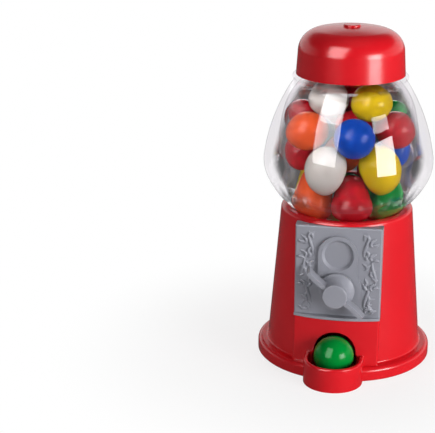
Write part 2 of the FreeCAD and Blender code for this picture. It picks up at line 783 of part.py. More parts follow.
def make_chute():
    """The sloping trough that leads a dropped ball from under the wheel to the tray."""
    body = doc.addObject("PartDesign::Body", "delivery_chute")
    foot, inside = "cover_thickness", "2 * chute_half_width"
    padded(body, "chute_block", "YZ_Plane", [
        ("-chute_front", foot), ("chute_back", foot),
        ("chute_back", "chute_top - chute_wall"), ("-chute_front", "chute_top")],
        "2 * (chute_half_width + chute_wall)")
    pocketed(body, "chute_trough", "YZ_Plane", [
        ("-chute_front", "chute_front_height"), ("chute_back - chute_wall", "chute_back_height"),
        ("chute_back - chute_wall", "2 * chute_top"), ("-chute_front", "2 * chute_top")], inside)
    pocketed(body, "chute_hollow", "YZ_Plane", [
        ("chute_lug - chute_front", foot), ("chute_back - chute_lug", foot),
        ("chute_back - chute_lug", "chute_back_height - chute_floor - chute_wall"),
        ("chute_lug - chute_front", foot + " + chute_wall / 2")], inside)
    return body


def cover_disc(name, gap, under):
    """The bottom cover's disc, grown by a gap, with a flat at its front that clears the tray's floor."""
    reach, z = "(cover_radius + %s)" % gap, (under, "cover_thickness")
    return shared(name, post(name + "_round", reach, z),
                  box(name + "_limit", ("-" + reach, reach), ("-cover_flat - " + gap, reach), z))


def make_bottom_cover():
    """The flat cover that closes the base, counterbored for its screws."""
    disc = cover_disc("cover_blank", "0", "0")
    holes = [post("cover_bore_%d" % number, "screw_radius + plate_gap", ("0", "cover_thickness"),
                  *boss_spot(signs)) for number, signs in enumerate(CORNERS)]
    sinks = [post("cover_sink_%d" % number, "screw_head_radius + cover_gap",
                  ("0", "screw_head_height + plate_gap"), *boss_spot(signs))
             for number, signs in enumerate(CORNERS)]
    return less("bottom_cover", disc, *holes, *sinks)


def make_globe():
    """The clear globe: bellied wall, collar for the base, lip and neck for the lid."""
    inside = GLOBE_INSIDE[::-1]
    return turned("globe", "XZ_Plane", [
        ("collar_bore", "collar_bottom"),
        ("collar_radius", "collar_bottom"),
        *(spot + ("left",) for spot in GLOBE_OUTSIDE[:3]),
        GLOBE_OUTSIDE[3],
        ("lip_radius", "shoulder_height + lip_bevel"),
        ("lip_radius", "lip_height"),
        ("neck_radius", "lip_height"),
        ("neck_radius", "neck_top"),
        ("neck_bore", "neck_top"),
        *(inside[step] + (inside[step + 1][2], "right") for step in range(1)),
        *(inside[step][:2] + (inside[step + 1][2], "right") for step in range(1, 3)),
        inside[3][:2],
    ])


def crown_spots(side, radius, crown, gap):
    """Where a lid's upright side ends and where its shoulder meets its crown, as formulas."""
    middle = "(%s - %s)" % (side, radius)
    reach = "(%s - %s)" % (crown, radius)
    rise = "sqrt(%s^2 - %s^2)" % (reach, middle)
    return [(side, "crown_centre + %s" % rise, radius, gap),
            ("%s * %s / %s" % (middle, crown, reach), "crown_centre + %s * %s / %s" % (rise, crown, reach),
             crown, gap)]


def make_lid():
    """The red lid: a domed cap with a round stud on its crown."""
    outside = crown_spots("lid_side", "lid_round", "lid_crown_radius", "left")
    inner_round, inner_crown = "(lid_round - lid_wall)", "(lid_crown_radius - lid_wall)"
    inside = crown_spots("lid_bore", inner_round, inner_crown, "right")
    stud_top = "lid_top + stud_height"
    stud_foot = "crown_centre + sqrt(lid_crown_radius^2 - stud_radius^2)"
    return turned("lid", "XZ_Plane", [
        ("lid_bore", "lid_foot"),
        ("lid_radius", "lid_foot"),
        outside[0],
        outside[1],
        ("stud_radius", stud_foot),
        ("stud_radius", stud_top + " - stud_edge", "stud_edge", "left"),
        ("stud_radius - stud_edge", stud_top),
        ("0", stud_top),
        ("0", "lid_top - lid_wall", inner_crown, "right"),
        inside[1][:2] + (inner_round, "right"),
        inside[0][:2],
    ])


# The heap in the globe, from the bottom up: the angles from the front at which balls drop in, their
# colours, and the reach of each ring from the axis in ball radii
HEAP_RINGS = (
    (1.0, ((-63, "orange"), (9, "red"), (81, "green"), (153, "red"), (225, "yellow"))),
    (1.22, ((-76, "red"), (-16, "white"), (44, "yellow"), (104, "blue"), (164, "white"), (224, "blue"))),
    (1.18, ((-90, "red"), (-39, "orange"), (13, "blue"), (64, "red"), (116, "green"),
            (167, "white"), (219, "orange"))),
    (0.97, ((-58, "white"), (45, "yellow"), (150, "red"))),
)
HEAP_CORE = ("green", "orange", "red")
RING_REACH = 2.0
FIRST_RING_LIFT = 0.77
RING_LIFT = 1.57
CORE_DROP = 0.45
SETTLE_STEPS = 420
SETTLE_PASSES = 4
FIRST_SINK = 0.25
WALL_STEP = 1.5


def arc_points(start, end, radius, side):
    """Points along an arc of the globe's wall, in radius and height."""
    first, last = FreeCAD.Vector(*start, 0), FreeCAD.Vector(*end, 0)
    curve = Part.Arc(first, bulge_point(first, last, radius, side), last)
    count = max(2, int(curve.length() / WALL_STEP))
    return [(spot.x, spot.y) for spot in curve.toShape().discretize(count)]


def heap_wall():
    """The inside of the globe, hopper and throat as one line of points, from the wheel up."""
    spots = [(size(spot[0]), size(spot[1])) for spot in GLOBE_INSIDE]
    wheel_top = size("axle_height + wheel_radius")
    line = [(0, wheel_top), (size("throat_radius"), wheel_top),
            (size("throat_radius"), size("shelf_top + throat_lift")),
            (size("hopper_edge"), size("hopper_top"))]
    for step in range(3):
        line += arc_points(spots[step], spots[step + 1], size(GLOBE_INSIDE[step][2]), "left")
    return line + [(size("neck_bore"), size("neck_top"))]


def nearest_on(line, across, up):
    """The point of a line that lies nearest to a place, and how far away it is."""
    best, best_reach = None, None
    for (x0, z0), (x1, z1) in zip(line, line[1:]):
        run_x, run_z = x1 - x0, z1 - z0
        length = run_x ** 2 + run_z ** 2
        if length == 0:
            continue
        share = min(1, max(0, ((across - x0) * run_x + (up - z0) * run_z) / length))
        spot = (x0 + share * run_x, z0 + share * run_z)
        reach = math.hypot(across - spot[0], up - spot[1])
        if best is None or reach < best_reach:
            best, best_reach = spot, reach
    return best, best_reach


def room_at(line, up):
    """How far the room reaches from the axis at a height."""
    reaches = [0]
    for (x0, z0), (x1, z1) in zip(line, line[1:]):
        if z0 != z1 and min(z0, z1) <= up <= max(z0, z1):
            reaches.append(x0 + (x1 - x0) * (up - z0) / (z1 - z0))
    return max(reaches)


def keep_inside(spot, line, clear):
    """Push a ball's centre off the wall of the heap's room."""
    across = math.hypot(spot.x, spot.y)
    near, reach = nearest_on(line, across, spot.z)
    inside = across < room_at(line, spot.z)
    if (inside and reach >= clear) or reach == 0:
        return spot
    push = clear / reach if inside else -clear / reach
    moved = near[0] + (across - near[0]) * push
    scale = moved / across if across > 0 else 1
    return FreeCAD.Vector(spot.x * scale, spot.y * scale, near[1] + (spot.z - near[1]) * push)


def heap_starts():
    """Colour and first place of each ball of the heap."""
    clear = size("ball_radius + ball_gap")
    first, lift = size("hopper_top") + FIRST_RING_LIFT * clear, RING_LIFT * clear
    for level, (reach, balls) in enumerate(HEAP_RINGS):
        out = RING_REACH * reach * clear
        for angle, colour in balls:
            turn = math.radians(angle)
            yield colour, FreeCAD.Vector(out * math.sin(turn), -out * math.cos(turn), first + level * lift)
    for level, colour in enumerate(HEAP_CORE):
        yield colour, FreeCAD.Vector(0, 0, first + level * lift - CORE_DROP * clear)


def settle(spots, line, clear):
    """Let the balls sink and push each other apart until they lie still."""
    for step in range(SETTLE_STEPS):
        sink = max(0, FIRST_SINK * (1 - 2 * step / SETTLE_STEPS))
        for ball in spots:
            ball.z -= sink
        for turn in range(SETTLE_PASSES):
            for first in range(len(spots)):
                for second in range(first):
                    run = spots[first] - spots[second]
                    if 0 < run.Length < 2 * clear:
                        push = run * ((2 * clear - run.Length) / run.Length / 2)
                        spots[first] += push
                        spots[second] -= push
            spots = [keep_inside(ball, line, clear) for ball in spots]
    return spots


def heap_balls():
    """Colours and places of the balls that found room in the globe."""
    colours, spots = zip(*heap_starts())
    clear = size("ball_radius + ball_gap")
    spots = settle(list(spots), heap_wall(), clear)
    ceiling = size("lid_top - lid_wall") - 2 * clear
    kept = []
    for colour, spot in zip(colours, spots):
        apart = [(spot - other).Length for own, other in kept]
        if spot.z < ceiling and min(apart, default=2 * clear) > 2 * size("ball_radius"):
            kept.append((colour, spot))
    return kept


def make_gumballs():
    """The heap in the globe, one node for each colour."""
    heap = heap_balls()
    nodes = []
    for colour in sorted(set(own for own, spot in heap)):
        balls = []
        for number, (own, spot) in enumerate(heap):
            if own == colour:
                ball = primitive("Sphere", "%s_ball_%d" % (colour, number), Radius="ball_radius")
                ball.Placement = FreeCAD.Placement(spot, FreeCAD.Rotation())
                balls.append(ball)
        nodes.append(group("gumballs_" + colour, balls))
    return nodes


def make_tray_ball():
    """The gumball that has just rolled into the tray."""
    ball = primitive("Sphere", "dispensed_gumball", Radius="ball_radius")
    return place(ball, "0", "-ball_place", "ball_rest")


def make_screws():
    """The screws, one node for each joint that they hold."""
    up, back, front = ALONG_UP, ALONG_Y, ALONG_FRONT
    cover = [screw("cover_screw_%d" % number, "cover_screw_length", up, *boss_spot(signs), "screw_head_height")
             for number, signs in enumerate(CORNERS)]
    ears = [screw("ear_screw_%s%s" % names, "ear_screw_length", up, *spot, "ear_under")
            for names, spot in ear_spots()]
    lugs = [screw("lug_screw_%s%s" % names, "lug_screw_length", front, spot[0], "cover_back", spot[1])
            for names, spot in lug_spots()]
    plate = [screw("plate_screw_%d" % number, "plate_screw_length", front, x, "shell_wall - plate_plane", z)
             for number, (x, z) in enumerate(PLATE_SCREWS)]
    return [group("bottom_screws", cover), group("housing_screws", ears),
            group("housing_cover_screws", lugs), group("plate_screws", plate)]


ALONG_UP = (FreeCAD.Vector(0, 0, 1), 0)
ALONG_FRONT = (FreeCAD.Vector(1, 0, 0), 90)

nodes = [make_body_shell(), make_face_plate(), make_handle(), make_wheel(), make_axle(), make_clip(),
         make_washer(), make_housing(), make_housing_cover(), make_hopper(), make_chute(),
         make_bottom_cover(), make_globe(), make_lid(), make_tray_ball(),
         place(pin("wheel_pin"), "pin_inset - wheel_hub", "wheel_half_width - wheel_back / 2", "axle_height"),
         *make_gumballs(), *make_screws()]
doc.recompute()

for item in doc.Objects:
    if "Invalid" in item.State or "Error" in item.State:
        raise RuntimeError("%s failed: %s" % (item.Name, item.State))
for item in nodes:
    if item.Shape.isNull() or not item.Shape.isValid():
        raise RuntimeError("%s has no valid shape" % item.Name)
os.makedirs("parts", exist_ok=True)
for item in nodes:
    item.Label = item.Name
    print(item.Label, len(item.Shape.Solids), round(item.Shape.Volume, 1))
    item.Shape.exportStep("parts/%s.step" % item.Label)
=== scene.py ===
import math

import bmesh
import bpy
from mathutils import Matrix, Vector


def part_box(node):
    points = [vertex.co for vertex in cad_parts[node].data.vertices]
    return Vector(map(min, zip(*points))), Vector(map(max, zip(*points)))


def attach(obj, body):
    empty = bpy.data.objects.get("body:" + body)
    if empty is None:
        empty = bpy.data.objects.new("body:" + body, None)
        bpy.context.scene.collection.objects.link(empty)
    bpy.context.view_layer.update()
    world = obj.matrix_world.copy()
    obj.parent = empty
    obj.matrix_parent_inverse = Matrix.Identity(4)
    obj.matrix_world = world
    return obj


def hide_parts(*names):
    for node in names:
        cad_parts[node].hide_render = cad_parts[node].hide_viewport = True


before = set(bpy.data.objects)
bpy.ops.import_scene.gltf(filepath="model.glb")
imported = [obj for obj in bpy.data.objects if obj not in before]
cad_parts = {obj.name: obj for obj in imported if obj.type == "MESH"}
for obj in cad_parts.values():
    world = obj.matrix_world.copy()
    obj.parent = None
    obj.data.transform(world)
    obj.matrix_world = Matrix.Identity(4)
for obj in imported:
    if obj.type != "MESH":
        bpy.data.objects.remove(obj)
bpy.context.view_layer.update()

bl_info = {
    "name": "Gumball Machine",
    "version": (1, 0, 0),
    "blender": (4, 5, 0),
    "location": "View3D > Sidebar > Gumball Machine",
    "description": "Dresses a small table-top gumball machine and its studio",
    "category": "Object",
}

MM = 0.001
WHITE = (1, 1, 1, 1)
# Where the plate's flat face stands along Y, which is negative towards the front
PLATE_FRONT = -27.1 * MM
# Bend in degrees above which an edge is a corner, and below which two faces are one
CORNER_ANGLE = 35.0
FLAT_ANGLE = 0.8
# Points closer than this are one point
WELD = 1e-6


def colour_prop(name, words, value):
    """A linear colour that a user may change."""
    return bpy.props.FloatVectorProperty(
        name=name, description=words, default=value, size=3, min=0, max=1, subtype="COLOR")


def length_prop(name, words, millimetres):
    """A length that a user may change."""
    return bpy.props.FloatProperty(
        name=name, description=words, default=millimetres * MM, subtype="DISTANCE", unit="LENGTH")


class GumballColours(bpy.types.PropertyGroup):
    """Colours of the machine's plastics and steel and of the gumballs."""
    red_plastic: colour_prop("Red plastic", "Base, lid, hopper and chute", (0.58, 0.006, 0.012))
    grey_plastic: colour_prop("Grey plastic", "Face plate and handle", (0.25, 0.253, 0.29))
    clear_plastic: colour_prop("Clear plastic", "Tint of the globe", (0.985, 0.972, 0.985))
    black_plastic: colour_prop("Black plastic", "Bottom cover", (0.03, 0.03, 0.034))
    white_plastic: colour_prop("White plastic", "Wheel and its housing", (0.72, 0.71, 0.67))
    steel: colour_prop("Steel", "Axle, pin, clip, washer and screws", (0.58, 0.58, 0.6))
    candy_red: colour_prop("Red gumballs", "Sugar shell", (0.40, 0.005, 0.012))
    candy_white: colour_prop("White gumballs", "Sugar shell", (0.52, 0.49, 0.45))
    candy_yellow: colour_prop("Yellow gumballs", "Sugar shell", (0.56, 0.38, 0.006))
    candy_blue: colour_prop("Blue gumballs", "Sugar shell", (0.003, 0.05, 0.36))
    candy_green: colour_prop("Green gumballs", "Sugar shell", (0.0, 0.22, 0.03))
    candy_orange: colour_prop("Orange gumballs", "Sugar shell", (0.68, 0.085, 0.02))


class GumballSizes(bpy.types.PropertyGroup):
    """Sizes of the details that the scene adds."""
    scroll_width: length_prop("Scroll width", "Half width of a scroll at its middle", 0.76)
    scroll_sink: length_prop("Scroll sink", "How far a scroll's middle lies under the plate's face", 0.1)
    handle_round: length_prop("Handle rounding", "Radius of the handle's edges", 0.4)
    ball_lump: length_prop("Ball lump", "How far a sugar shell sinks below a true ball", 0.12)
    ball_side: bpy.props.IntProperty(
        name="Ball sides", description="Sides round a gumball", default=56, min=12, max=96)
    globe_sides: bpy.props.IntProperty(
        name="Globe sides", description="Sides round the globe", default=160, min=24, max=256)


class GumballStage(bpy.types.PropertyGroup):
    """The studio: camera, floor and lamps."""
    camera_place: bpy.props.FloatVectorProperty(
        name="Camera place", description="Where the camera stands", size=3, subtype="TRANSLATION",
        unit="LENGTH", default=(0.05837, -0.56389, 0.2456))
    camera_aim: bpy.props.FloatVectorProperty(
        name="Camera aim", description="The way the camera looks", size=3, subtype="DIRECTION",
        default=(-0.18684, 0.93080, -0.31416))
    camera_lens: bpy.props.FloatProperty(
        name="Lens", description="Focal length on a 36 mm wide sensor, in millimetres", default=117.96)
    lamp_level: bpy.props.FloatProperty(
        name="Lamp level", description="Strength of all lamps together", default=1.0, min=0)
    floor_glow: bpy.props.FloatProperty(
        name="Floor glow", description="Share of plain white in the floor near the machine",
        default=0.78, min=0, max=1, subtype="FACTOR")


class Value:
    """A shader socket that works in sums, adding the Math nodes that they need."""

    def __init__(self, finish, socket):
        self.finish = finish
        self.socket = socket

    def reckon(self, operation, first, second):
        return self.finish.node("ShaderNodeMath", {"operation": operation}, {0: first, 1: second})["Value"]

    def __add__(self, other):
        return self.reckon("ADD", self, other)

    def __radd__(self, other):
        return self.reckon("ADD", other, self)

    def __sub__(self, other):
        return self.reckon("SUBTRACT", self, other)

    def __rsub__(self, other):
        return self.reckon("SUBTRACT", other, self)

    def __mul__(self, other):
        return self.reckon("MULTIPLY", self, other)

    def __rmul__(self, other):
        return self.reckon("MULTIPLY", other, self)


class Added:
    """A node just added, whose outputs read as values."""

    def __init__(self, finish, node):
        self.finish = finish
        self.node = node

    def __getitem__(self, name):
        return Value(self.finish, self.node.outputs[name])


class Finish:
    """A material or world under construction."""

    def __init__(self, name, block=None):
        self.block = block or bpy.data.materials.new(name)
        self.block.use_nodes = True
        self.tree = self.block.node_tree
        self.tree.nodes.clear()

    def node(self, kind, settings=None, values=None):
        """Add a node, first its settings, then the values or links of its sockets."""
        node = self.tree.nodes.new(kind)
        for key, value in (settings or {}).items():
            setattr(node, key, value)
        for key, value in (values or {}).items():
            if isinstance(value, Value):
                self.tree.links.new(value.socket, node.inputs[key])
            else:
                node.inputs[key].default_value = value
        return Added(self, node)

    def coords(self):
        """Place on the piece, in metres."""
        return self.node("ShaderNodeTexCoord")["Object"]

    def noise(self, scale, detail=2.0, roughness=0.5, stretch=None):
        """Soft noise from 0 to 1 with so many lumps to the metre."""
        place = self.coords()
        if stretch:
            place = self.node("ShaderNodeMapping", None, {"Vector": place, "Scale": stretch})["Vector"]
        return self.node("ShaderNodeTexNoise", None, {
            "Vector": place, "Scale": scale, "Detail": detail, "Roughness": roughness})["Fac"]

    def band(self, value, low, high):
        """0 below low, 1 above high, smooth between."""
        return self.node("ShaderNodeMapRange", {"interpolation_type": "SMOOTHSTEP"}, {
            "Value": value, "From Min": low, "From Max": high})["Result"]

    def mix(self, share, first, second):
        """A colour between two."""
        return self.node("ShaderNodeMix", {"data_type": "RGBA"}, {0: share, 6: first, 7: second})[2]

    def at_most_one(self, value):
        """A value that stops at 1."""
        return self.node("ShaderNodeMath", {"operation": "MINIMUM"}, {0: value, 1: 1.0})["Value"]

    def bump(self, height, strength, distance):
        """A surface that rises and falls with a value."""
        return self.node("ShaderNodeBump", None, {
            "Height": height, "Strength": strength, "Distance": distance})["Normal"]

    def surface(self, values):
        """One Principled surface."""
        return self.node("ShaderNodeBsdfPrincipled", None, values)["BSDF"]

    def see_through(self, colour=WHITE):
        """A shader that lets rays pass unbent, tinted by a colour."""
        return self.node("ShaderNodeBsdfTransparent", None, {"Color": colour})["BSDF"]

    def glow(self, strength):
        """A shader of plain white light."""
        return self.node("ShaderNodeEmission", None, {"Color": WHITE, "Strength": strength})["Emission"]

    def blend(self, share, first, second):
        """A shader between two."""
        return self.node("ShaderNodeMixShader", None, {0: share, 1: first, 2: second})["Shader"]

    def rays(self, kind):
        """1 for one kind of ray, 0 for the others."""
        return self.node("ShaderNodeLightPath")[kind]

    def show(self, shader, output="ShaderNodeOutputMaterial"):
        """Make a shader the finish."""
        self.node(output, None, {"Surface": shader})
        return self.block


def shade(colour, level):
    """A colour made lighter or darker, with alpha."""
    return tuple(min(1.0, part * level) for part in colour) + (1.0,)


def settings():
    """The three groups of settings of this scene."""
    scene = bpy.context.scene
    return scene.gumball_colours, scene.gumball_sizes, scene.gumball_stage


def moulded_plastic(name, colour, gloss, grain):
    """Moulded plastic: faint flow clouds, fine orange peel and light upright scuffs."""
    finish = Finish(name)
    cloud = finish.noise(scale=38.0, detail=3.0)
    streak = finish.noise(scale=420.0, detail=4.0, roughness=0.62, stretch=(1.0, 1.0, 0.18))
    scuff = finish.band(streak, low=0.60, high=0.74)
    tone = finish.mix(cloud, shade(colour, 0.90), shade(colour, 1.08))
    peel = finish.noise(scale=900.0) * 0.5 + finish.noise(scale=120.0, detail=1.0) * 0.5
    return finish.show(finish.surface({
        "Base Color": tone,
        "Roughness": cloud * 0.06 + scuff * 0.02 + gloss,
        "Normal": finish.bump(peel, strength=grain, distance=0.00012),
        "Coat Weight": 0.10,
        "Coat Roughness": 0.12,
        "IOR": 1.46,
    }))


def satin_plastic(name, colour):
    """Grey cast-look plastic with faint clouds and a fine even grain."""
    finish = Finish(name)
    cloud = finish.noise(scale=55.0, detail=3.0)
    grain = finish.noise(scale=2600.0)
    tone = finish.mix(cloud, shade(colour, 0.93), shade(colour, 1.07))
    return finish.show(finish.surface({
        "Base Color": tone,
        "Roughness": cloud * 0.10 + grain * 0.08 + 0.30,
        "Normal": finish.bump(grain, strength=0.10, distance=0.00008),
        "IOR": 1.5,
    }))


def sugar_shell(name, colour):
    """Polished sugar shell: uneven colour, tiny pits, soft dents and a waxed gloss."""
    finish = Finish(name)
    blotch = finish.noise(scale=42.0)
    pits = finish.noise(scale=1500.0, detail=3.0)
    dents = finish.noise(scale=210.0, detail=1.0)
    tone = finish.mix(blotch, shade(colour, 0.82), shade(colour, 1.14))
    return finish.show(finish.surface({
        "Base Color": tone,
        "Roughness": blotch * 0.08 + pits * 0.07 + 0.11,
        "Normal": finish.bump(pits * 0.4 + dents * 0.6, strength=0.12, distance=0.00015),
        "Specular IOR Level": 0.2,
        "Coat Weight": 0.05,
        "Coat Roughness": 0.08,
        "IOR": 1.40,
    }))


def clear_plastic(name, colour):
    """Clear moulded plastic with faint ripples, which lets lamp light through, dimmed.

    Its turned-away rim and its lip show what is behind them mostly unbent.
    """
    # Between which heights, in metres, and between which turns away from the ray, from 0 to 1, the rim and
    # the lip come in and the rim's outermost edge fades
    rim_heights, lip_heights = (0.066, 0.076), (0.1150, 0.1178)
    rim_turned, edge_turned = (0.36, 0.58), (0.88, 0.97)
    rim_share, lip_share, edge_loss = 0.92, 0.86, 0.6
    unbent_tint, lamp_tint = 0.98, 0.42
    finish = Finish(name)
    ripple = finish.noise(scale=46.0, detail=1.0, roughness=0.4, stretch=(1.0, 1.0, 0.35))
    clear = finish.surface({
        "Base Color": shade(colour, 1.0),
        "Roughness": 0.015,
        "Normal": finish.bump(ripple, strength=0.05, distance=0.0003),
        "IOR": 1.49,
        "Specular IOR Level": 0.36,
        "Transmission Weight": 1.0,
    })
    turned = finish.node("ShaderNodeLayerWeight", None, {"Blend": 0.5})["Facing"]
    height = finish.node("ShaderNodeSeparateXYZ", None, {"Vector": finish.coords()})["Z"]
    edge = 1.0 - finish.band(turned, *edge_turned) * edge_loss
    rim = finish.band(turned, *rim_turned) * finish.band(height, *rim_heights) * edge * rim_share
    lip = finish.band(height, *lip_heights) * lip_share
    plain = finish.node("ShaderNodeMath", {"operation": "MAXIMUM"}, {0: rim, 1: lip})["Value"]
    body = finish.blend(plain, clear, finish.see_through(shade(colour, unbent_tint)))
    shaded = finish.see_through(shade(colour, lamp_tint))
    return finish.show(finish.blend(finish.rays("Is Shadow Ray"), body, shaded))


def turned_steel(name, colour):
    """Bright turned steel with fine marks that run round the axle."""
    finish = Finish(name)
    marks = finish.noise(scale=2400.0, roughness=0.6, stretch=(0.08, 1.0, 0.08))
    return finish.show(finish.surface({
        "Base Color": finish.mix(marks, shade(colour, 0.85), shade(colour, 1.1)),
        "Metallic": 1.0,
        "Roughness": marks * 0.18 + 0.22,
        "Normal": finish.bump(marks, strength=0.08, distance=0.00005),
    }))


def give(node_name, material):
    """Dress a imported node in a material."""
    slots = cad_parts[node_name].data.materials
    slots.clear()
    slots.append(material)


def new_piece(name, mesh, body, replaced=None):
    """Put a finished mesh in the scene, riding on a body."""
    piece = bpy.data.objects.new(name, mesh)
    bpy.context.scene.collection.objects.link(piece)
    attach(piece, body)
    if replaced:
        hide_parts(replaced)


def set_inputs(modifier, values):
    """Set a node tree's named inputs on the modifier that runs it."""
    sockets = {item.name: item.identifier for item in modifier.node_group.interface.items_tree
               if item.in_out == "INPUT"}
    for name, value in values.items():
        modifier[sockets[name]] = value


def grown(name, source, tree, values):
    """Run a node tree on an object and give back the plain mesh that it makes."""
    bpy.context.scene.collection.objects.link(source)
    modifier = source.modifiers.new("Grow", "NODES")
    modifier.node_group = tree
    set_inputs(modifier, values)
    graph = bpy.context.evaluated_depsgraph_get()
    graph.update()
    mesh = bpy.data.meshes.new_from_object(source.evaluated_get(graph))
    mesh.name = name
    source.modifiers.remove(modifier)
    bpy.data.objects.remove(source)
    return mesh


class Tree:
    """A geometry node tree under construction, with named inputs."""

    def __init__(self, name, inputs):
        self.tree = bpy.data.node_groups.new(name, "GeometryNodeTree")
        face = self.tree.interface
        face.new_socket("Geometry", in_out="INPUT", socket_type="NodeSocketGeometry")
        for label, kind in inputs:
            face.new_socket(label, in_out="INPUT", socket_type=kind)
        face.new_socket("Geometry", in_out="OUTPUT", socket_type="NodeSocketGeometry")
        self.start = self.tree.nodes.new("NodeGroupInput")
        self.end = self.tree.nodes.new("NodeGroupOutput")

    def given(self, name):
        """One of the tree's own inputs."""
        return self.start.outputs[name]

    def add(self, kind, values=None, **choices):
        """Add a node with its choices, values and links."""
        node = self.tree.nodes.new(kind)
        for key, value in choices.items():
            setattr(node, key, value)
        for key, value in (values or {}).items():
            if isinstance(value, bpy.types.NodeSocket):
                self.tree.links.new(value, node.inputs[key])
            else:
                node.inputs[key].default_value = value
        return node.outputs

    def close(self, geometry):
        """Realize what was made, give it its material and end the tree."""
        real = self.add("GeometryNodeRealizeInstances", {"Geometry": geometry})
        dressed = self.add("GeometryNodeSetMaterial", {
            "Geometry": real["Geometry"], "Material": self.given("Material")})
        self.tree.links.new(dressed["Geometry"], self.end.inputs["Geometry"])
        return self.tree


def lathe(name, outline, sides):
    """A closed turned mesh from a closed outline of (radius, height) in millimetres."""
    mesh = bpy.data.meshes.new(name)
    shape = bmesh.new()
    turns = [2 * math.pi * side / sides for side in range(sides)]
    rings = [[shape.verts.new((radius * MM * math.cos(turn), radius * MM * math.sin(turn), height * MM))
              for turn in turns] for radius, height in outline]
    for low, high in zip(rings, rings[1:] + rings[:1]):
        for side in range(sides):
            after = (side + 1) % sides
            shape.faces.new([low[side], low[after], high[after], high[side]])
    bmesh.ops.recalc_face_normals(shape, faces=shape.faces)
    shape.to_mesh(mesh)
    shape.free()
    smooth_but_corners(mesh)
    return mesh


def smooth_but_corners(mesh):
    """Shade a mesh smooth, with its corners left sharp."""
    mesh.shade_smooth()
    mesh.set_sharp_from_angle(angle=math.radians(CORNER_ANGLE))


def softened(name, source, width):
    """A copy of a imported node's mesh with its corners rounded off."""
    shape = bmesh.new()
    shape.from_mesh(source)
    bmesh.ops.remove_doubles(shape, verts=shape.verts, dist=WELD)
    bmesh.ops.dissolve_limit(
        shape, angle_limit=math.radians(FLAT_ANGLE), verts=shape.verts, edges=shape.edges)
    corners = [edge for edge in shape.edges if edge.calc_face_angle(0) > math.radians(CORNER_ANGLE)]
    bmesh.ops.bevel(shape, geom=corners, offset=width, segments=3, profile=0.5, affect="EDGES",
                    clamp_overlap=True)
    mesh = bpy.data.meshes.new(name)
    shape.to_mesh(mesh)
    shape.free()
    smooth_but_corners(mesh)
    return mesh


def arc_run(start, end, radius, steps):
    """Points from start to just before end along an arc, with its centre on the left of the way."""
    first, last = Vector(start), Vector(end)
    run = last - first
    normal = Vector((-run.y, run.x)).normalized()
    centre = (first + last) / 2 + normal * math.sqrt(max(radius ** 2 - run.length_squared / 4, 0))
    begin = math.atan2(first.y - centre.y, first.x - centre.x)
    stop = math.atan2(last.y - centre.y, last.x - centre.x)
    if stop < begin:
        stop += 2 * math.pi
    turns = [begin + (stop - begin) * step / steps for step in range(steps)]
    return [(centre.x + radius * math.cos(turn), centre.y + radius * math.sin(turn)) for turn in turns]


def belly(radius, height, bend, low_angle, high_angle, low_end, high_end, steps):
    """A bellied wall from its low end to its high end: three arcs that run into each other."""
    spots = [low_end]
    radii = []
    for angle, sign, end in ((low_angle, -1, low_end), (high_angle, 1, high_end)):
        normal = Vector((math.cos(math.radians(angle)), sign * math.sin(math.radians(angle))))
        joint = Vector((radius - bend, height)) + normal * bend
        run = Vector(end) - joint
        radii.append(-run.length_squared / (2 * run.dot(normal)))
        spots.append(tuple(joint))
    spots.append(high_end)
    points = arc_run(spots[0], spots[1], radii[0], steps)
    points += arc_run(spots[1], spots[2], bend, steps)
    points += arc_run(spots[2], spots[3], radii[1], steps)
    return points + [high_end]


def islands(mesh):
    """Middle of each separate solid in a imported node."""
    shape = bmesh.new()
    shape.from_mesh(mesh)
    bmesh.ops.remove_doubles(shape, verts=shape.verts, dist=WELD)
    left = set(shape.verts)
    middles = []
    while left:
        reached = [left.pop()]
        group = []
        while reached:
            vert = reached.pop()
            group.append(vert.co.copy())
            for edge in vert.link_edges:
                other = edge.other_vert(vert)
                if other in left:
                    left.remove(other)
                    reached.append(other)
        low = Vector(min(spot[axis] for spot in group) for axis in range(3))
        high = Vector(max(spot[axis] for spot in group) for axis in range(3))
        middles.append((low + high) / 2)
    shape.free()
    return sorted(middles, key=lambda spot: tuple(round(part, 6) for part in spot))


def ball_tree():
    """Node tree that sets a slightly lumpy sugar ball on each point."""
    lumps_per_metre = 95.0
    tree = Tree("sugar_balls", (("Radius", "NodeSocketFloat"), ("Sides", "NodeSocketInt"),
                                ("Lump", "NodeSocketFloat"), ("Material", "NodeSocketMaterial")))
    rings = tree.add("ShaderNodeMath", {0: tree.given("Sides"), 1: 0.5}, operation="MULTIPLY")
    ball = tree.add("GeometryNodeMeshUVSphere", {
        "Segments": tree.given("Sides"), "Rings": rings["Value"], "Radius": tree.given("Radius")})
    set_out = tree.add("GeometryNodeInstanceOnPoints", {
        "Points": tree.given("Geometry"), "Instance": ball["Mesh"]})
    real = tree.add("GeometryNodeRealizeInstances", {"Geometry": set_out["Instances"]})
    lumps = tree.add("ShaderNodeTexNoise", {"Scale": lumps_per_metre, "Detail": 1.0})
    sink = tree.add("ShaderNodeMath", {0: lumps["Fac"], 1: tree.given("Lump")}, operation="MULTIPLY")
    normal = tree.add("GeometryNodeInputNormal")
    push = tree.add("ShaderNodeVectorMath", {
        0: normal["Normal"], "Scale": sink["Value"]}, operation="SCALE")
    back = tree.add("ShaderNodeVectorMath", {0: push["Vector"], "Scale": -1.0}, operation="SCALE")
    moved = tree.add("GeometryNodeSetPosition", {"Geometry": real["Geometry"], "Offset": back["Vector"]})
    smooth = tree.add("GeometryNodeSetShadeSmooth", {"Geometry": moved["Geometry"]})
    return tree.close(smooth["Geometry"])


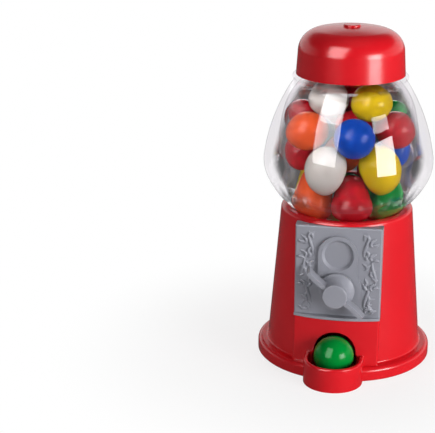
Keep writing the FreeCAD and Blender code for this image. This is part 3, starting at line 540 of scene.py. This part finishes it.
def relief_tree():
    """Node tree that sweeps a round bead along each stroke, thin at both ends."""
    bead_sides, end_fullness = 10, 0.55
    tree = Tree("scroll_relief", (("Width", "NodeSocketFloat"), ("Material", "NodeSocketMaterial")))
    along = tree.add("GeometryNodeSplineParameter")
    arch = tree.add("ShaderNodeMath", {0: along["Factor"], 1: math.pi}, operation="MULTIPLY")
    rise = tree.add("ShaderNodeMath", {0: arch["Value"]}, operation="SINE")
    lift = tree.add("ShaderNodeMath", {0: rise["Value"], 1: end_fullness}, operation="POWER")
    swell = tree.add("ShaderNodeMath", {0: lift["Value"], 1: tree.given("Width")}, operation="MULTIPLY")
    wide = tree.add("GeometryNodeSetCurveRadius", {"Curve": tree.given("Geometry"), "Radius": 1.0})
    bead = tree.add("GeometryNodeCurvePrimitiveCircle", {"Resolution": bead_sides, "Radius": 1.0})
    swept = tree.add("GeometryNodeCurveToMesh", {
        "Curve": wide["Curve"], "Profile Curve": bead["Curve"], "Scale": swell["Value"], "Fill Caps": True})
    smooth = tree.add("GeometryNodeSetShadeSmooth", {"Geometry": swept["Mesh"]})
    return tree.close(smooth["Geometry"])


class GUMBALL_OT_base(bpy.types.Operator):
    """Red base shell, hopper, chute and lid, and the black bottom cover"""
    bl_idname = "gumball.base"
    bl_label = "Base"

    def execute(self, context):
        colours = settings()[0]
        red = moulded_plastic("red_plastic", colours.red_plastic, gloss=0.21, grain=0.04)
        for name in ("body_shell", "hopper_floor", "delivery_chute", "lid"):
            give(name, red)
        black = moulded_plastic("black_plastic", colours.black_plastic, gloss=0.32, grain=0.10)
        give("bottom_cover", black)
        return {"FINISHED"}


class GUMBALL_OT_plate(bpy.types.Operator):
    """Grey face plate with its scroll relief"""
    bl_idname = "gumball.plate"
    bl_label = "Face plate"

    # Strokes of the relief on one side: start across from the plate's middle line and up from the floor, in
    # millimetres, first heading and turn at the start and end of the stroke, in degrees, and length
    STROKES = (
        (11.6, 61.2, -62, -170, 170, 11.5),
        (14.0, 50.4, -118, 170, -170, 11.5),
        (12.2, 39.6, -62, -170, 170, 11.5),
        (9.4, 60.6, -20, 60, -520, 6.0),
        (15.4, 59.0, -150, -60, 520, 6.0),
        (10.0, 54.6, -40, 80, -560, 6.0),
        (15.6, 52.6, -160, -80, 560, 5.5),
        (9.6, 48.4, -30, 80, -560, 5.0),
        (15.6, 46.2, -150, -60, 560, 6.0),
        (10.8, 42.2, -60, 60, -520, 5.0),
        (15.6, 40.0, -150, -80, 560, 5.5),
        (11.2, 35.2, -40, 80, -560, 5.0),
        (15.4, 33.6, -160, -80, 560, 6.0),
        (10.6, 30.0, -20, 100, -560, 6.0),
        (15.2, 28.4, 170, -80, 420, 5.5),
        (10.2, 57.6, 60, 120, -300, 3.5),
        (13.2, 56.2, 20, -120, 300, 3.5),
        (12.0, 52.2, -140, 60, 300, 3.5),
        (13.6, 49.0, 30, 60, -300, 3.5),
        (11.4, 45.4, 50, 120, -300, 3.5),
        (13.4, 43.0, -30, -100, 300, 3.5),
        (12.6, 36.8, 140, 60, -300, 3.5),
        (13.8, 37.2, 30, 80, -300, 3.5),
        (12.8, 31.8, -120, 60, 300, 3.5),
        (13.4, 26.6, 40, 100, -300, 3.5),
    )
    STEPS = 22

    def stroke(self, side, across, up, heading, first_turn, last_turn, length):
        """Points of one stroke, bending evenly from its first turn to its last."""
        spots = []
        angle = math.radians(heading)
        for step in range(self.STEPS + 1):
            spots.append((side * across, up))
            share = step / self.STEPS
            angle += math.radians(first_turn + (last_turn - first_turn) * share) / self.STEPS
            across += math.cos(angle) * length / self.STEPS
            up += math.sin(angle) * length / self.STEPS
        return spots

    def execute(self, context):
        colours, sizes = settings()[:2]
        grey = satin_plastic("grey_plastic", colours.grey_plastic)
        give("face_plate", grey)
        front = PLATE_FRONT + sizes.scroll_sink
        strokes = bpy.data.curves.new("strokes", "CURVE")
        strokes.dimensions = "3D"
        for side in (-1, 1):
            for numbers in self.STROKES:
                spots = self.stroke(side, *numbers)
                line = strokes.splines.new("POLY")
                line.points.add(len(spots) - 1)
                for point, (across, up) in zip(line.points, spots):
                    point.co = (across * MM, front, up * MM, 1)
        mesh = grown("scroll_relief", bpy.data.objects.new("strokes", strokes), relief_tree(),
                     {"Width": sizes.scroll_width, "Material": grey})
        new_piece("scroll_relief", mesh, "machine")
        return {"FINISHED"}


class GUMBALL_OT_handle(bpy.types.Operator):
    """Grey turning handle with softly rounded edges"""
    bl_idname = "gumball.handle"
    bl_label = "Handle"

    def execute(self, context):
        colours, sizes = settings()[:2]
        mesh = softened("rounded_handle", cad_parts["turn_handle"].data, sizes.handle_round)
        mesh.materials.clear()
        mesh.materials.append(satin_plastic("handle_grey", colours.grey_plastic))
        new_piece("rounded_handle", mesh, "spindle", "turn_handle")
        return {"FINISHED"}


class GUMBALL_OT_globe(bpy.types.Operator):
    """Clear globe with its collar, lip and neck"""
    bl_idname = "gumball.globe"
    bl_label = "Globe"

    STEPS = 18
    # Radius, height and bend of each wall's widest belt in millimetres, and the angles at which it runs on
    OUTER_BELT = (34.7, 84.0, 16.0, 25.0, 8.0)
    INNER_BELT = (28.6, 90.0, 60.0, 15.0, 15.0)
    COLLAR = {"radius": 23.0, "bore": 21.2, "foot": 61.3, "shoulder": 64.3}
    LIP = {"radius": 23.5, "root": 22.4, "foot": 117.8, "top": 119.5}
    NECK = {"radius": 20.0, "bore": 18.0, "foot": 118.5, "top": 124.5}
    EDGE = 0.35

    def execute(self, context):
        colours, sizes = settings()[:2]
        collar, lip, neck, edge = self.COLLAR, self.LIP, self.NECK, self.EDGE
        outside = belly(*self.OUTER_BELT, (collar["radius"], collar["shoulder"]),
                        (lip["root"], lip["foot"]), self.STEPS)
        inside = belly(*self.INNER_BELT, (collar["bore"], collar["shoulder"]),
                       (neck["bore"], neck["foot"]), self.STEPS)
        outline = [(collar["bore"], collar["foot"]), (collar["radius"] - edge, collar["foot"]),
                   (collar["radius"], collar["foot"] + edge), *outside,
                   (lip["radius"] - edge, lip["foot"] + edge), (lip["radius"], lip["foot"] + 2 * edge),
                   (lip["radius"], lip["top"] - edge), (lip["radius"] - edge, lip["top"]),
                   (neck["radius"] + edge, lip["top"]), (neck["radius"], lip["top"] + edge),
                   (neck["radius"], neck["top"] - edge), (neck["radius"] - edge, neck["top"]),
                   (neck["bore"] + edge, neck["top"]), (neck["bore"], neck["top"] - edge), *inside[::-1]]
        mesh = lathe("clear_globe", outline, sizes.globe_sides)
        mesh.materials.append(clear_plastic("clear_plastic", colours.clear_plastic))
        new_piece("clear_globe", mesh, "machine", "globe")
        return {"FINISHED"}


class GUMBALL_OT_gumballs(bpy.types.Operator):
    """Sugar-shelled gumballs in the globe and in the tray"""
    bl_idname = "gumball.gumballs"
    bl_label = "Gumballs"

    def execute(self, context):
        colours, sizes = settings()[:2]
        tree = ball_tree()
        low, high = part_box("dispensed_gumball")
        radius = (high.z - low.z) / 2
        shells = {}
        heap = [("gumballs_" + word, "machine", word) for word in
                ("red", "white", "yellow", "blue", "green", "orange")]
        for node, body, word in heap + [("dispensed_gumball", "vended_ball", "green")]:
            slot = "candy_" + word
            if slot not in shells:
                shells[slot] = sugar_shell(slot, getattr(colours, slot))
            points = bpy.data.meshes.new("places")
            points.from_pydata(islands(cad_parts[node].data), [], [])
            mesh = grown("sugar_" + node, bpy.data.objects.new("places", points), tree, {
                "Radius": radius, "Sides": sizes.ball_side, "Lump": sizes.ball_lump,
                "Material": shells[slot]})
            new_piece("sugar_" + node, mesh, body, node)
        return {"FINISHED"}


class GUMBALL_OT_mechanism(bpy.types.Operator):
    """White wheel and housing, steel axle, pin, clip, washer and screws"""
    bl_idname = "gumball.mechanism"
    bl_label = "Mechanism"

    def execute(self, context):
        colours = settings()[0]
        nylon = moulded_plastic("white_plastic", colours.white_plastic, gloss=0.34, grain=0.12)
        steel = turned_steel("steel", colours.steel)
        for name in ("dispensing_wheel", "wheel_housing", "housing_cover"):
            give(name, nylon)
        for name in ("axle", "wheel_pin", "axle_clip", "handle_washer", "bottom_screws", "housing_screws",
                     "housing_cover_screws", "plate_screws"):
            give(name, steel)
        return {"FINISHED"}


class GUMBALL_OT_stage(bpy.types.Operator):
    """Pale floor, soft lamps, bright backdrop and the camera"""
    bl_idname = "gumball.stage"
    bl_label = "Studio"

    FLOOR_REACH = 2.5
    FLOOR_TONES = ((0.80, 0.80, 0.80, 1), (0.84, 0.84, 0.84, 1))
    FLOOR_IN_GLOSS = 0.10
    # Distances from the middle between which the floor turns plain white
    SHADOW_REACH = (0.045, 0.13)
    # The backdrop in front of the machine, as it shows and in gloss, and the plain light from all sides
    FRONT_TONE = (0.35, 0.35, 0.36, 1)
    FRONT_IN_GLOSS = (0.03, 0.03, 0.033, 1)
    PLAIN_LIGHT = 0.18
    # Where the backdrop goes dark in gloss, by how steeply a ray rises, and where it turns white, by how far
    # a ray points back
    OVERHEAD = (0.36, 0.46)
    BEHIND = (-0.55, 0.35)
    # Lamps: name, angle round from the front in degrees, height, distance, width and tallness in metres,
    # and watts
    LAMPS = (
        ("left_softbox", -27, 0.42, 0.95, 0.36, 0.75, 1.9),
        ("right_softbox", 58, 0.20, 0.85, 0.42, 0.34, 8.0),
        ("overhead", 20, 1.05, 0.10, 0.80, 0.80, 1.8),
        ("back_softbox", 195, 0.50, 0.95, 0.90, 0.60, 4.5),
    )
    # Lamps that gloss mirrors
    SHOWN_IN_GLOSS = ("right_softbox",)
    # White card that shows in gloss alone: angle, height, distance, width and tallness as above, brightness
    CARD = (-27, 0.66, 0.95, 0.70, 1.09, 10.0)
    # What the lamps and the card face
    AIM = Vector((0, 0, 0.075))

    def add_floor(self, stage):
        """A wide pale floor that stays near white, keeps the machine's shadow and is dim in gloss."""
        mesh = bpy.data.meshes.new("floor")
        reach = self.FLOOR_REACH
        mesh.from_pydata([(-reach, -reach, 0), (reach, -reach, 0), (reach, reach, 0), (-reach, reach, 0)],
                         [], [(0, 1, 2, 3)])
        finish = Finish("pale_floor")
        grain = finish.noise(scale=30.0, detail=3.0)
        tone = finish.mix(grain, *self.FLOOR_TONES)
        paper = finish.surface({"Base Color": tone, "Roughness": 0.9, "Specular IOR Level": 0.1})
        away = finish.node("ShaderNodeVectorMath", {"operation": "LENGTH"}, {0: finish.coords()})["Value"]
        share = finish.band(away, *self.SHADOW_REACH) * (1 - stage.floor_glow) + stage.floor_glow
        bright = finish.blend(seen_rays(finish) * share, paper, finish.glow(1.0))
        dim = finish.glow(self.FLOOR_IN_GLOSS)
        mesh.materials.append(finish.show(finish.blend(finish.rays("Is Glossy Ray"), bright, dim)))
        piece = bpy.data.objects.new("floor", mesh)
        bpy.context.scene.collection.objects.link(piece)

    def add_world(self):
        """A backdrop, white behind the machine and grey in front, with plain dim light from all sides.

        Gloss mirrors it dark in front and overhead.
        """
        world = bpy.data.worlds.new("studio")
        bpy.context.scene.world = world
        finish = Finish("studio", world)
        way = finish.node("ShaderNodeTexCoord")["Generated"]
        axes = finish.node("ShaderNodeSeparateXYZ", None, {"Vector": way})
        gloss = finish.rays("Is Glossy Ray")
        above = finish.band(axes["Z"], *self.OVERHEAD) * gloss
        behind = finish.band(axes["Y"], *self.BEHIND) * (1.0 - above)
        front = finish.mix(gloss, self.FRONT_TONE, self.FRONT_IN_GLOSS)
        shown = finish.mix(behind, front, WHITE)
        plain, backdrop = (
            finish.node("ShaderNodeBackground", None, {"Color": colour, "Strength": strength})["Background"]
            for colour, strength in ((WHITE, self.PLAIN_LIGHT), (shown, 1.0)))
        finish.show(finish.blend(seen_rays(finish), plain, backdrop), "ShaderNodeOutputWorld")

    def stand(self, angle, height, distance):
        """A place round the machine and the turn that faces it."""
        turn = math.radians(angle)
        place = Vector((distance * math.sin(turn), -distance * math.cos(turn), height))
        return place, (self.AIM - place).to_track_quat("-Z", "Y")

    def add_lamps(self, stage):
        """Soft panels that face the machine."""
        for name, angle, height, distance, wide, tall, watts in self.LAMPS:
            lamp = bpy.data.lights.new(name, "AREA")
            lamp.shape = "RECTANGLE"
            lamp.size = wide
            lamp.size_y = tall
            lamp.energy = watts * stage.lamp_level
            place, facing = self.stand(angle, height, distance)
            piece = bpy.data.objects.new(name, lamp)
            piece.location = place
            piece.rotation_euler = facing.to_euler()
            piece.visible_glossy = name in self.SHOWN_IN_GLOSS
            bpy.context.scene.collection.objects.link(piece)

    def add_card(self):
        """A tall white card on the left, for the slanting gleam on the globe."""
        angle, height, distance, wide, tall, brightness = self.CARD
        place, facing = self.stand(angle, height, distance)
        corners = [place + facing @ Vector((x * wide / 2, y * tall / 2, 0))
                   for x, y in ((-1, -1), (1, -1), (1, 1), (-1, 1))]
        mesh = bpy.data.meshes.new("gleam_card")
        mesh.from_pydata(corners, [], [(0, 1, 2, 3)])
        finish = Finish("gleam_card")
        gloss = finish.rays("Is Glossy Ray")
        mesh.materials.append(finish.show(
            finish.blend(gloss, finish.see_through(), finish.glow(brightness))))
        piece = bpy.data.objects.new("gleam_card", mesh)
        bpy.context.scene.collection.objects.link(piece)

    def add_camera(self, stage):
        """The camera at the photograph's place."""
        camera = bpy.data.cameras.new("camera")
        camera.sensor_fit = "HORIZONTAL"
        camera.sensor_width = 36.0
        camera.lens = stage.camera_lens
        camera.clip_start = 0.01
        piece = bpy.data.objects.new("camera", camera)
        piece.location = stage.camera_place
        piece.rotation_euler = Vector(stage.camera_aim).to_track_quat("-Z", "Y").to_euler()
        bpy.context.scene.collection.objects.link(piece)
        bpy.context.scene.camera = piece

    def execute(self, context):
        stage = settings()[2]
        self.add_floor(stage)
        self.add_world()
        self.add_lamps(stage)
        self.add_card()
        self.add_camera(stage)
        bpy.context.scene.view_settings.view_transform = "Standard"
        return {"FINISHED"}


def seen_rays(finish):
    """1 for rays from the camera, in gloss or through clear plastic, but 0 past a dull surface."""
    path = finish.node("ShaderNodeLightPath")
    some = path["Is Camera Ray"] + path["Is Glossy Ray"] + path["Is Transmission Ray"]
    return finish.at_most_one(some) * (1.0 - finish.at_most_one(path["Diffuse Depth"]))


class GUMBALL_PT_panel(bpy.types.Panel):
    """Settings and makers of the gumball machine"""
    bl_idname = "GUMBALL_PT_panel"
    bl_label = "Gumball Machine"
    bl_space_type = "VIEW_3D"
    bl_region_type = "UI"
    bl_category = "Gumball Machine"

    def draw(self, context):
        for group in settings():
            box = self.layout.box()
            for name in group.__annotations__:
                box.prop(group, name)
        for maker in MAKERS:
            self.layout.operator(maker.bl_idname)


GROUPS = (("gumball_colours", GumballColours), ("gumball_sizes", GumballSizes),
          ("gumball_stage", GumballStage))
MAKERS = (GUMBALL_OT_base, GUMBALL_OT_plate, GUMBALL_OT_handle, GUMBALL_OT_globe, GUMBALL_OT_gumballs,
          GUMBALL_OT_mechanism, GUMBALL_OT_stage)


def register():
    """Make the settings, operators and panel known."""
    for name, group in GROUPS:
        bpy.utils.register_class(group)
        setattr(bpy.types.Scene, name, bpy.props.PointerProperty(type=group))
    for maker in MAKERS + (GUMBALL_PT_panel,):
        bpy.utils.register_class(maker)


def unregister():
    """Take them out again."""
    for maker in (GUMBALL_PT_panel,) + MAKERS[::-1]:
        bpy.utils.unregister_class(maker)
    for name, group in GROUPS[::-1]:
        delattr(bpy.types.Scene, name)
        bpy.utils.unregister_class(group)


def main():
    """Make every piece, then the studio."""
    register()
    for word in ("base", "plate", "handle", "globe", "gumballs", "mechanism", "stage"):
        getattr(bpy.ops.gumball, word)()


if __name__ == "__main__":
    main()
